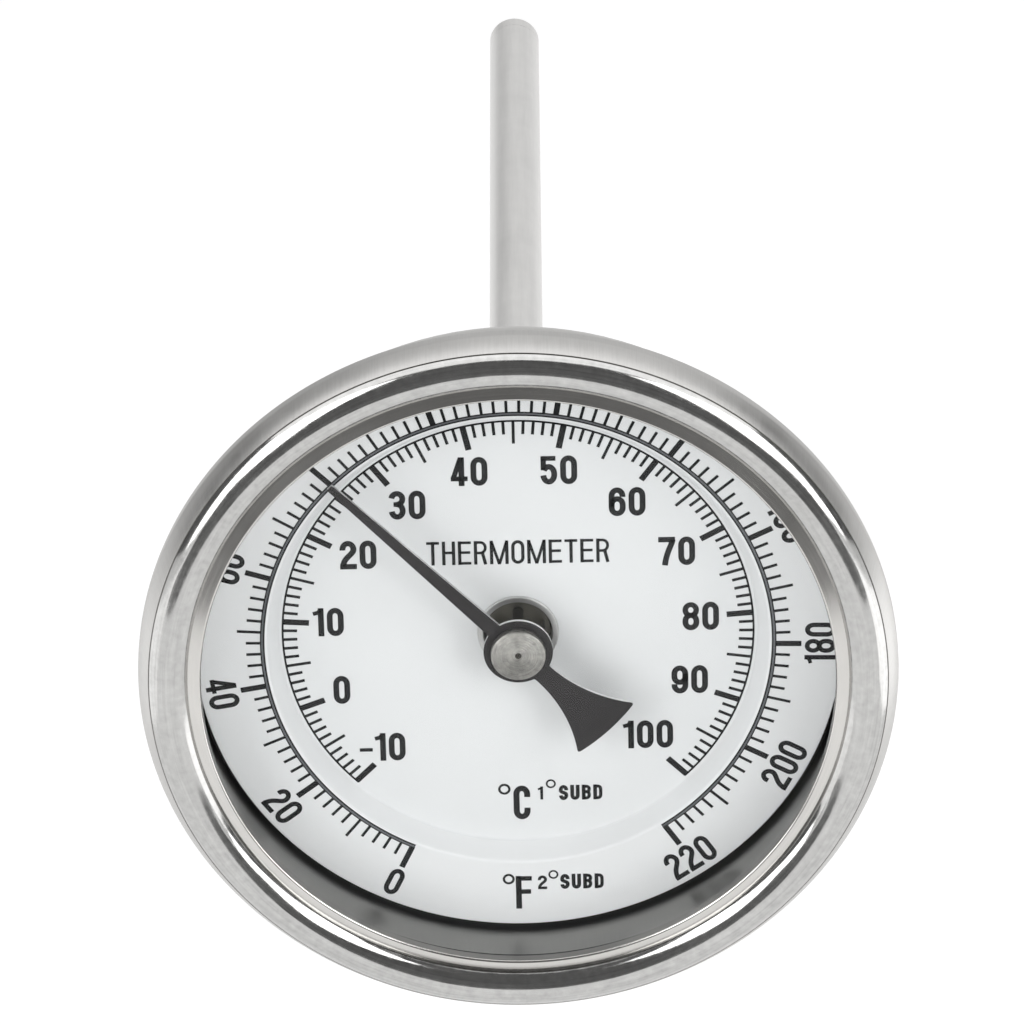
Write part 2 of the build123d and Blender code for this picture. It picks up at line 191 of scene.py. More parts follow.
# ---------------------------------------------------------------- materials
def steel(name, tint, rough, spread, grain, pitch, strength, blotch, cloud=180.0):
    """Machined or drawn metal.

    grain says which way its hairlines run: axial, ring or none. pitch is their spacing in millimetres and
    strength their relief. blotch is how far the colour wanders, and cloud how finely.
    """
    mat, tree, bsdf = new_material(name)
    angle, radius, y, point = polar(tree)
    arc = maths(tree, "MULTIPLY", angle, maths(tree, "MAXIMUM", radius, 1.0))
    density = 1 / pitch
    if grain == "axial":
        across = maths(tree, "MULTIPLY", arc, density)
        streaks = vector(tree, across, maths(tree, "MULTIPLY", y, 0.05 * density))
    elif grain == "ring":
        along = maths(tree, "MULTIPLY", arc, 0.03 * density)
        across = maths(tree, "MULTIPLY", maths(tree, "ADD", radius, y), density)
        streaks = vector(tree, along, across, maths(tree, "MULTIPLY", y, 0.3 * density))
    else:
        streaks = scaled(tree, point, 0.25 * density / MM)
    fine = noise(tree, streaks, 1.0, 4.0, 0.65)
    wide = noise(tree, point, cloud, 3.0, 0.55)
    low, high = around(tint, blotch * 2.2, blotch)
    mixed = maths(tree, "ADD", maths(tree, "MULTIPLY", fine, 0.55), maths(tree, "MULTIPLY", wide, 0.45))
    tree.links.new(ramp(tree, mixed, [(0.3, low), (0.7, high)]), bsdf.inputs["Base Color"])
    tree.links.new(ranged(tree, mixed, 0.3, 0.7, rough - spread, rough + spread), bsdf.inputs["Roughness"])
    bsdf.inputs["Metallic"].default_value = 1.0
    bump(tree, bsdf, fine, strength)
    return mat


def case_metal():
    """Pressed steel, darkened deep inside the bore where the dial's edge shades it."""
    mat = steel(
        "case_steel", (0.48, 0.475, 0.46),
        rough=0.34, spread=0.06, grain="axial", pitch=0.25, strength=0.25, blotch=0.06,
    )
    tree = mat.node_tree
    colour = tree.nodes["Principled BSDF"].inputs["Base Color"]
    _, radius, y, point = polar(tree)
    cloud = noise(tree, point, 220.0, 3.0, 0.6)
    depth = maths(tree, "ADD", y, maths(tree, "MULTIPLY", cloud, 0.6))
    deep = ranged(tree, depth, RIM_Y - 1.7, RIM_Y - 0.2, 0.64, 0.34)
    in_bore = maths(tree, "LESS_THAN", radius, CASE_WALL_R)
    in_front = maths(tree, "LESS_THAN", y, CASE_BORE_END)
    inside = maths(tree, "MULTIPLY", in_bore, in_front)
    lost = maths(tree, "MULTIPLY", inside, maths(tree, "SUBTRACT", 1.0, deep))
    kept = maths(tree, "SUBTRACT", 1.0, lost)
    tree.links.new(scaled(tree, colour.links[0].from_socket, kept), colour)
    return mat


def paint(name, tint, rough, variation, grain, strength, specular, rim=None):
    """Sprayed paint with a faint orange peel. rim is (radius, radius, factor): the paint made paler
    outwards, as painted light against the shade the bezel casts.
    """
    mat, tree, bsdf = new_material(name)
    bsdf.inputs["Specular IOR Level"].default_value = specular
    _, radius, _, point = polar(tree)
    peel = noise(tree, point, grain, 2.0)
    drift = noise(tree, point, 45.0, 3.0)
    low, high = around(tint, variation, variation)
    colour = ramp(tree, drift, [(0.35, low), (0.65, high)])
    # painted light: the paint grows paler from the near radius to the far one, standing in for the light the
    # bezel's shade takes from the outer zone
    if rim:
        near, far, factor = rim
        colour = scaled(tree, colour, ranged(tree, radius, near, far, 1.0, factor))
    tree.links.new(colour, bsdf.inputs["Base Color"])
    tree.links.new(ranged(tree, peel, 0.3, 0.7, rough - 0.04, rough + 0.04), bsdf.inputs["Roughness"])
    bump(tree, bsdf, peel, strength)
    return mat


def rubber(name, tint):
    mat, tree, bsdf = new_material(name)
    grain = noise(tree, place_on_object(tree), 3000.0, 4.0, 0.6)
    low, high = around(tint, 0.3, 0.0)
    tree.links.new(ramp(tree, grain, [(0.3, low), (0.7, high)]), bsdf.inputs["Base Color"])
    tree.links.new(ranged(tree, grain, 0.3, 0.7, 0.6, 0.8), bsdf.inputs["Roughness"])
    bump(tree, bsdf, grain, 0.3, 0.00003)
    return mat


def window_glass(name):
    """Clear sheet glass: what is behind shows through, and the surface mirrors a little at a slant."""
    mat, tree, bsdf = new_material(name)
    tree.nodes.remove(bsdf)
    out = tree.nodes["Material Output"]
    clear = node(tree, "ShaderNodeBsdfTransparent")
    clear.inputs[0].default_value = (0.988, 0.99, 0.988, 1)
    shine = node(tree, "ShaderNodeBsdfGlossy")
    shine.inputs["Roughness"].default_value = 0.02
    shine.inputs["Color"].default_value = (0.9, 0.9, 0.9, 1)
    smear = noise(tree, place_on_object(tree), 60.0, 3.0)
    fresnel = node(tree, "ShaderNodeFresnel")
    fresnel.inputs["IOR"].default_value = 1.3
    share = maths(tree, "MULTIPLY", fresnel.outputs[0], ranged(tree, smear, 0.3, 0.7, 0.35, 0.6))
    mix = node(tree, "ShaderNodeMixShader")
    tree.links.new(share, mix.inputs[0])
    tree.links.new(clear.outputs[0], mix.inputs[1])
    tree.links.new(shine.outputs[0], mix.inputs[2])
    tree.links.new(mix.outputs[0], out.inputs["Surface"])
    return mat


DRAWN = steel(
    "drawn_steel", (0.515, 0.509, 0.498),
    rough=0.37, spread=0.06, grain="axial", pitch=0.16, strength=0.5, blotch=0.06,
)
POLISHED = steel(
    "polished_steel", (0.50, 0.497, 0.488),
    rough=0.11, spread=0.065, grain="ring", pitch=0.4, strength=0.2, blotch=0.10, cloud=1100.0,
)
LIP = steel(
    "lip_steel", (0.59, 0.578, 0.557),
    rough=0.18, spread=0.04, grain="ring", pitch=0.3, strength=0.08, blotch=0.04,
)
CASE = case_metal()
STEM = steel(
    "stem_steel", (0.72, 0.713, 0.70),
    rough=0.34, spread=0.06, grain="axial", pitch=0.9, strength=0.10, blotch=0.06,
)
THREAD = steel(
    "thread_steel", (0.58, 0.57, 0.555),
    rough=0.30, spread=0.05, grain="ring", pitch=0.1, strength=0.2, blotch=0.04,
)
NICKEL = steel(
    "turned_nickel", (0.49, 0.48, 0.455),
    rough=0.38, spread=0.09, grain="ring", pitch=0.11, strength=0.9, blotch=0.25, cloud=1500.0,
)
# Speckled nickel for the hub's rim wall, darkened as painted shade of the undercut behind the cap.
HUB_RIM_PAINTED_SHADE = steel(
    "nickel_edge_painted_shade", (0.26, 0.253, 0.238),
    rough=0.50, spread=0.12, grain="none", pitch=0.03, strength=0.9, blotch=0.42, cloud=2500.0,
)
# Dark steel for the groove behind the nose and for the opening's wall: painted shade in the crease and on
# the wall.
BEZEL_PAINTED_SHADE = steel(
    "bezel_steel_painted_shade", (0.26, 0.255, 0.245),
    rough=0.35, spread=0.05, grain="ring", pitch=0.2, strength=0.2, blotch=0.08,
)
# Near-black nickel for the cap's centre pit: painted shade in the recess.
HUB_PIT_PAINTED_SHADE = steel(
    "nickel_pit_painted_shade", (0.10, 0.095, 0.085),
    rough=0.5, spread=0.05, grain="ring", pitch=0.11, strength=0.4, blotch=0.10,
)
ALUMINIUM = steel(
    "turned_aluminium", (0.66, 0.66, 0.655),
    rough=0.45, spread=0.05, grain="ring", pitch=0.12, strength=0.2, blotch=0.04,
)
SPRING = steel(
    "spring_steel", (0.40, 0.40, 0.39),
    rough=0.35, spread=0.06, grain="none", pitch=0.2, strength=0.2, blotch=0.05,
)
BRASS = steel(
    "gear_brass", (0.70, 0.52, 0.24),
    rough=0.30, spread=0.06, grain="none", pitch=0.2, strength=0.2, blotch=0.06,
)
# Brass painted dark grey for the post, bushes, collet and anchor: painted shade for brass that sits deep in
# the dial's hole and the case.
BRASS_PAINTED_SHADE = steel(
    "post_brass", (0.21, 0.20, 0.17),
    rough=0.48, spread=0.06, grain="ring", pitch=0.15, strength=0.2, blotch=0.06,
)
SHAFT = steel(
    "shaft_steel", (0.60, 0.60, 0.59),
    rough=0.25, spread=0.04, grain="ring", pitch=0.2, strength=0.1, blotch=0.04,
)
# The raised outer zone's paint is a paler copy of the sunk zone's, and paler still outwards: painted light
# against the bezel's shade.
WHITE = paint(
    "dial_white", (0.715, 0.727, 0.737),
    rough=0.5, variation=0.012, grain=3200.0, strength=0.03, specular=0.3,
)
WHITE_PAINTED_LIGHT_RIM = paint(
    "dial_white_painted_light_rim", (0.785, 0.795, 0.805),
    rough=0.5, variation=0.012, grain=3200.0, strength=0.03, specular=0.3, rim=(28.0, 35.0, 1.24),
)
INK = paint(
    "dial_ink", (0.013, 0.0135, 0.0145),
    rough=0.65, variation=0.25, grain=6000.0, strength=0.2, specular=0.2,
)
INK_GREY = paint(
    "dial_ink_grey", (0.13, 0.135, 0.145),
    rough=0.6, variation=0.2, grain=6000.0, strength=0.2, specular=0.2,
)
CUT_EDGE = steel(
    "hand_cut_edge", (0.86, 0.86, 0.85),
    rough=0.40, spread=0.05, grain="none", pitch=0.1, strength=0.1, blotch=0.05,
)
BLACK = paint(
    "pointer_black", (0.024, 0.022, 0.023),
    rough=0.5, variation=0.12, grain=5000.0, strength=0.15, specular=0.25,
)
RUBBER = rubber("gasket_rubber", (0.03, 0.03, 0.03))
GLASS = window_glass("window_glass_clear")


# ---------------------------------------------------------------- mesh helpers
def finish_mesh(name, bm, body, slot, materials, sharp=28.0, replaces=()):
    bmesh.ops.recalc_face_normals(bm, faces=bm.faces)
    mesh = bpy.data.meshes.new(name)
    bm.to_mesh(mesh)
    bm.free()
    for polygon in mesh.polygons:
        polygon.use_smooth = True
    mesh.set_sharp_from_angle(angle=math.radians(sharp))
    for mat in materials:
        mesh.materials.append(mat)
    obj = bpy.data.objects.new(name, mesh)
    bpy.context.scene.collection.objects.link(obj)
    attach(obj, body)
    if replaces:
        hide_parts(*replaces)
    return obj


def curve(start, corner, end, t):
    """A point on the quadratic curve from start to end that bends at the corner."""
    return tuple(start * (1 - t) ** 2 + corner * 2 * t * (1 - t) + end * t ** 2)


def rounded(points, radii, steps=6):
    """A closed outline with each corner given a small round, one radius for each."""
    out = []
    count = len(points)
    for k, (corner, radius) in enumerate(zip(points, radii)):
        here = Vector(corner)
        before = Vector(points[k - 1]) - here
        after = Vector(points[(k + 1) % count]) - here
        if radius <= 0 or before.length == 0 or after.length == 0:
            out.append(tuple(here))
            continue
        half = before.angle(after) / 2
        reach = min(radius / max(math.tan(half), 1e-3), before.length * 0.48, after.length * 0.48)
        start = here + before.normalized() * reach
        end = here + after.normalized() * reach
        out += [curve(start, here, end, s / steps) for s in range(steps + 1)]
    return out


def arc_points(a, b, c, steps):
    """Points on the circle through a, b and c, from a to c without the last."""
    ax, ay, bx, by, cx, cy = *a, *b, *c
    d = 2 * (ax * (by - cy) + bx * (cy - ay) + cx * (ay - by))
    sa, sb, sc = ax * ax + ay * ay, bx * bx + by * by, cx * cx + cy * cy
    ux = (sa * (by - cy) + sb * (cy - ay) + sc * (ay - by)) / d
    uy = (sa * (cx - bx) + sb * (ax - cx) + sc * (bx - ax)) / d
    radius = math.hypot(ax - ux, ay - uy)
    start, middle, end = (math.atan2(p[1] - uy, p[0] - ux) for p in (a, b, c))
    turn = (end - start) % TAU
    if (middle - start) % TAU > turn:
        turn -= TAU
    return [
        (ux + radius * math.cos(start + turn * s / steps), uy + radius * math.sin(start + turn * s / steps))
        for s in range(steps)
    ]


def round_point(bm, radius, angle, y):
    """A vertex at a radius, a clock angle and a station."""
    return bm.verts.new((radius * math.sin(angle) * MM, y * MM, radius * math.cos(angle) * MM))


def lathe(name, outline, body, slot, materials, segments, pick=None, **more):
    """Turn a closed (radius, station) outline in millimetres about the stem axis.

    A radius of 0 closes to a point. pick gives the material of the band between two outline points.
    """
    bm = bmesh.new()
    rings = []
    for radius, y in outline:
        if radius < 1e-6:
            rings.append([bm.verts.new((0, y * MM, 0))])
            continue
        rings.append([round_point(bm, radius, TAU * s / segments, y) for s in range(segments)])
    count = len(rings)
    for k in range(count):
        here, there = rings[k], rings[(k + 1) % count]
        if len(here) == 1 and len(there) == 1:
            continue
        material = pick(outline[k], outline[(k + 1) % count]) if pick else 0
        for s in range(segments):
            t = (s + 1) % segments
            if len(here) == 1:
                corners = (here[0], there[s], there[t])
            elif len(there) == 1:
                corners = (here[s], there[0], here[t])
            else:
                corners = (here[s], there[s], there[t], here[t])
            face = bm.faces.new(corners)
            face.material_index = material
    return finish_mesh(name, bm, body, slot, materials, **more)


def polar_skin(name, rows, radius_at, segments, body, slot, materials, **more):
    """A closed skin whose radius depends on angle and station; both ends are capped at the axis."""
    bm = bmesh.new()
    angles = [TAU * s / segments for s in range(segments)]
    grid = [[round_point(bm, radius_at(a, y), a, y) for a in angles] for y in rows]
    for low, high in zip(grid, grid[1:]):
        for s in range(segments):
            t = (s + 1) % segments
            bm.faces.new((low[s], high[s], high[t], low[t]))
    for row, y in ((grid[0], rows[0]), (grid[-1], rows[-1])):
        middle = bm.verts.new((0, y * MM, 0))
        for s in range(segments):
            bm.faces.new((row[s], row[(s + 1) % segments], middle))
    return finish_mesh(name, bm, body, slot, materials, **more)


def prism(bm, outline, y_front, thickness):
    """A flat piece from a simple (x, z) outline in millimetres, its face at y_front."""
    front = [bm.verts.new((x * MM, y_front * MM, z * MM)) for x, z in outline]
    back = [bm.verts.new((x * MM, (y_front + thickness) * MM, z * MM)) for x, z in outline]
    count = len(outline)
    bm.faces.new(front)
    bm.faces.new(list(reversed(back)))
    for s in range(count):
        t = (s + 1) % count
        bm.faces.new((front[s], back[s], back[t], front[t]))


def ribbon(bm, points, width, y_front, thickness, closed=False, material=0):
    """A band of even width along (x, z) points, as a thin raised print with square ends."""
    count = len(points)
    left, right = [], []
    for k, (x, z) in enumerate(points):
        if closed:
            before, after = points[k - 1], points[(k + 1) % count]
        else:
            before, after = points[max(k - 1, 0)], points[min(k + 1, count - 1)]
        one = Vector((x - before[0], z - before[1]))
        two = Vector((after[0] - x, after[1] - z))
        one = one.normalized() if one.length > 1e-9 else two.normalized()
        two = two.normalized() if two.length > 1e-9 else one
        along = (one + two).normalized()
        reach = width / 2 / max(along.dot(one), 0.5)
        left.append((x - along.y * reach, z + along.x * reach))
        right.append((x + along.y * reach, z - along.x * reach))
    rows = []
    for (lx, lz), (rx, rz) in zip(left, right):
        rows.append([
            bm.verts.new((px * MM, py * MM, pz * MM))
            for px, py, pz in (
                (lx, y_front, lz),
                (rx, y_front, rz),
                (rx, y_front + thickness, rz),
                (lx, y_front + thickness, lz),
            )
        ])
    spans = list(zip(rows, rows[1:])) + ([(rows[-1], rows[0])] if closed else [])
    for a, b in spans:
        for s in range(4):
            t = (s + 1) % 4
            bm.faces.new((a[s], a[t], b[t], b[s])).material_index = material
    if not closed:
        for row in (rows[0], rows[-1]):
            bm.faces.new(row).material_index = material


def at_clock(radius, degrees):
    """(x, z) of a point at a clock angle on the dial."""
    a = math.radians(degrees)
    return radius * math.sin(a), radius * math.cos(a)


# ---------------------------------------------------------------- bezel, stem, connector
def build_bezel():
    front, back = bezel_low.y, bezel_high.y
    opening, lip_back, lip_front = 34.6, -26.6, -27.78
    lip_edge = opening + 0.27        # the lip is rounded from the opening to here, then slants back
    foot = (36.20, -27.38)           # a small step leads from the lip's foot up to the nose
    crease = (36.24, -27.72)
    crest_radius = 38.2
    groove = (40.20, -27.70)         # fine groove between the polished nose and the drawn flank
    brow = (groove[0] + 0.13, groove[1] + 0.10)
    knee = (41.36, -25.8)
    side = -25.3                     # the outer wall is straight behind this station
    hem, bore = 38.2, 40.6           # radii of the hem behind the case's flange and of the bore around it
    edge = 0.5                       # round on the back edge
    outline = [(opening, lip_back)]
    outline += arc_points((opening, -27.4), (opening + 0.07, -27.66), (lip_edge, lip_front), 6)
    outline += [(lip_edge, lip_front), foot, (foot[0] + 0.02, foot[1] - 0.04)]
    outline += arc_points(crease, (crest_radius, front), groove, 44)
    outline += [groove, (groove[0] + 0.02, groove[1] + 0.12)]
    outline += arc_points(brow, (40.82, -26.90), knee, 16)
    outline += arc_points(knee, (41.46, -25.55), (BEZEL_R, side), 5)
    outline += [(BEZEL_R, side), (BEZEL_R, back - edge - 0.1)]
    outline += arc_points((BEZEL_R, back - edge), (BEZEL_R - 0.15, back - 0.15), (BEZEL_R - edge, back), 5)
    outline += [(hem + 0.2, back), (hem, back - 0.2), (hem, side), (bore, side), (bore, lip_back)]
    polished, drawn, lip, painted_shade = range(4)

    def zone(a, b):
        radius = (a[0] + b[0]) / 2
        y = (a[1] + b[1]) / 2
        # the groove takes the dark steel, as painted shade in the crease
        if groove[0] < radius < groove[0] + 0.12 and y < groove[1] + 0.2:
            return painted_shade
        if radius > groove[0] or y > lip_back + 0.05:
            return drawn
        # the opening's wall takes the dark steel too, as painted shade
        if radius < opening + 0.04:
            return painted_shade
        return lip if radius < foot[0] else polished

    return lathe(
        "bezel", outline, "case", "bezel_steel", [POLISHED, DRAWN, LIP, BEZEL_PAINTED_SHADE], 720, zone, sharp=24.0,
        replaces=("bezel_ring",),
    )


def build_stem():
    radius, bore = stem_radius, 2.45
    start = body_high.y - 2          # inside the connector's end
    end = tip_high.y
    overlap = tip_low.y + 5.0        # the tube ends this far past the plug's inner end
    tube = rounded([(bore, start), (radius, start), (radius, overlap), (bore, overlap)], [0, 0, 0.05, 0])
    lathe("stem", tube, "case", "stem_steel", [STEM], 160, replaces=("stem_tube",))
    seam, insert, spigot = end - 2.6, 4.9, 2.44
    end_round, end_bulge = 0.8, 0.234
    plug = [(0, seam - insert), (spigot, seam - insert), (spigot, seam), (radius, seam)]
    plug += arc_points(
        (radius, end - end_round), (radius - end_bulge, end - end_bulge), (radius - end_round, end), 10,
    )
    plug += [(radius - end_round, end), (0, end)]
    lathe("stem_end", plug, "case", "stem_steel", [STEM], 160, replaces=("stem_tip",))


def build_connector():
    """Round neck, hexagon and tapered pipe thread."""
    low, high = body_low.y, body_high.y
    flats, chamfer, hex_low = 11.1, 0.9, -7.0
    corner = flats * 2 / math.sqrt(3)

    def hex_radius(a, y):
        flat = flats / math.cos((a + math.pi / 6) % (math.pi / 3) - math.pi / 6)
        depth = min(y - hex_low, -y)
        return min(flat, corner - chamfer + depth * 2 + 0.02)

    edges = (0, 0.15, 0.3, 0.45, 0.6)
    rows = [hex_low + d for d in edges] + [-d for d in reversed(edges)]
    hexagon = polar_skin(
        "connector_hex", rows, hex_radius, 360, "case", "connector_steel", [THREAD], sharp=20.0,
    )
    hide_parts("process_connector")
    bore, sleeve, collar, collar_low, overlap = 6.9, 7.0, 10.5, -8.0, 0.02
    neck = [
        (bore, low), (sleeve, low), (sleeve, collar_low), (collar - 0.2, collar_low),
        (collar, collar_low + 0.2), (collar, hex_low + overlap), (bore, hex_low + overlap),
    ]
    lathe("connector_neck", neck, "case", "connector_steel", [THREAD], 180)
    pitch, depth, root = 1.814, 1.15, 9.3
    mouth_r, taper = 10.62, 1 / 32
    run_in, run_in_length = 0.9, 1.3
    lead_in = high - 1.4             # the last threads are turned down from here

    def thread_radius(a, y):
        cone = mouth_r - y * taper
        phase = (y / pitch - a / TAU) % 1.0
        wave = min(1.0, max(0.0, (abs(phase - 0.5) * 2 - 0.1) / 0.8))
        fade = min(1.0, max(0.0, (y - run_in) / run_in_length))
        threaded = root + (cone - depth * wave - root) * fade
        return min(threaded, cone - 0.15 - (y - lead_in) * 0.9) if y > lead_in else threaded

    steps = 220
    rows = [high * k / steps for k in range(steps + 1)]
    polar_skin("connector_thread", rows, thread_radius, 144, "case", "connector_steel", [THREAD], sharp=35.0)


# ---------------------------------------------------------------- dial
def build_dial():
    slope_low, slope_high = 26.4, 27.7      # the step up to the outer zone runs between these radii
    sheet = 0.6
    hole, edge = 4.0, DIAL_R - 0.3
    outline = [
        (hole, DIAL_Y), (slope_low, DIAL_Y), (slope_high, RIM_Y), (edge, RIM_Y),
        (edge, RIM_Y + sheet), (slope_high + 0.35, RIM_Y + sheet), (slope_low + 0.35, DIAL_Y + sheet),
        (hole, DIAL_Y + sheet),
    ]
    outline = rounded(outline, [0.05, 0.5, 0.5, 0.12, 0.12, 0.3, 0.3, 0.05], 5)
    sunk, raised = range(2)

    def zone(a, b):
        # the raised zone takes the paler copy of the paint, as painted light
        return raised if (a[0] + b[0]) / 2 > slope_low + 0.1 else sunk

    return lathe(
        "dial", outline, "dial", "dial_paint", [WHITE, WHITE_PAINTED_LIGHT_RIM], 512, zone,
        sharp=50.0, replaces=("dial_plate",),
    )


def build_dial_ring():
    bore, barrel, flange = 3.82, 4.0, 4.5
    front, seat = bush_low.y, DIAL_Y - 0.01
    outline = [
        (bore, front), (flange - 0.12, front), (flange, front + 0.12), (flange, seat),
        (barrel, seat), (barrel, bush_high.y), (bore, bush_high.y),
    ]
    outline = rounded(outline, [0.1, 0.1, 0.08, 0.02, 0, 0, 0], 4)
    return lathe("dial_ring", outline, "dial", "bush_aluminium", [ALUMINIUM], 160, replaces=("dial_bush",))


INK_T = 0.03                     # thickness of the print


def celsius_angle(t):
    """Clock angle of a reading: -10 to 100 takes three quarters of a turn."""
    return -135.0 + (t + 10.0) * 270.0 / 110.0


def fahrenheit_angle(t):
    """Clock angle of a reading: 14 to 212 lies beside -10 to 100 on the inner scale."""
    return -135.0 + (t - 14.0) * 270.0 / 198.0


def print_arc(bm, radius, first, last, width, y_face, thickness=INK_T, material=0):
    steps = 220
    points = [at_clock(radius, first + (last - first) * s / steps) for s in range(steps + 1)]
    ribbon(bm, points, width, y_face - thickness, thickness, material=material)


def print_tick(bm, angle, r_from, r_to, width, y_face):
    ribbon(bm, [at_clock(r_from, angle), at_clock(r_to, angle)], width, y_face - INK_T, INK_T)


def build_scales():
    bm = bmesh.new()
    inner_r = 26.0
    print_arc(bm, inner_r, celsius_angle(-10) - 0.6, celsius_angle(100) + 0.6, 0.22, DIAL_Y)
    for t in range(-10, 101):
        if t % 10 == 0:
            length, width = 2.9, 0.68
        elif t % 5 == 0:
            length, width = 2.75, 0.33
        else:
            length, width = 1.6, 0.33
        print_tick(bm, celsius_angle(t), inner_r, inner_r - length, width, DIAL_Y)
    finish_mesh("print_celsius_scale", bm, "dial", "dial_paint", [INK])

    bm = bmesh.new()
    outer_r = 28.18
    first, last = fahrenheit_angle(0) - 0.55, fahrenheit_angle(220) + 0.55
    print_arc(bm, outer_r, first, last, 0.50, RIM_Y)
    pale_line_y = RIM_Y - INK_T + 0.005      # a paler line lies along the middle of the black one
    print_arc(bm, outer_r + 0.02, first, last, 0.20, pale_line_y, thickness=0.012, material=1)
    for t in range(0, 221, 2):
        if t % 20 == 0:
            length, width = 3.0, 0.64
        elif t % 10 == 0:
            length, width = 2.8, 0.32
        else:
            length, width = 1.8, 0.32
        print_tick(bm, fahrenheit_angle(t), outer_r + 0.1, outer_r + length, width, RIM_Y)
    finish_mesh("print_fahrenheit_scale", bm, "dial", "dial_paint", [INK, INK_GREY])


# ---------------------------------------------------------------- lettering
def ellipse(cx, cy, rx, ry, start, end, steps=14):
    """Points of an ellipse from start to end degrees, anticlockwise from +x."""
    return [
        (
            cx + rx * math.cos(math.radians(start + (end - start) * s / steps)),
            cy + ry * math.sin(math.radians(start + (end - start) * s / steps)),
        )
        for s in range(steps + 1)
    ]


def bezier(a, b, c, d):
    """Points of the cubic curve from a to d that leaves towards b and arrives from c."""
    out = []
    steps = 10
    for s in range(steps + 1):
        t = s / steps
        u = 1 - t
        out.append(tuple(
            a[k] * u ** 3 + 3 * b[k] * u * u * t + 3 * c[k] * u * t * t + d[k] * t ** 3 for k in (0, 1)
        ))
    return out


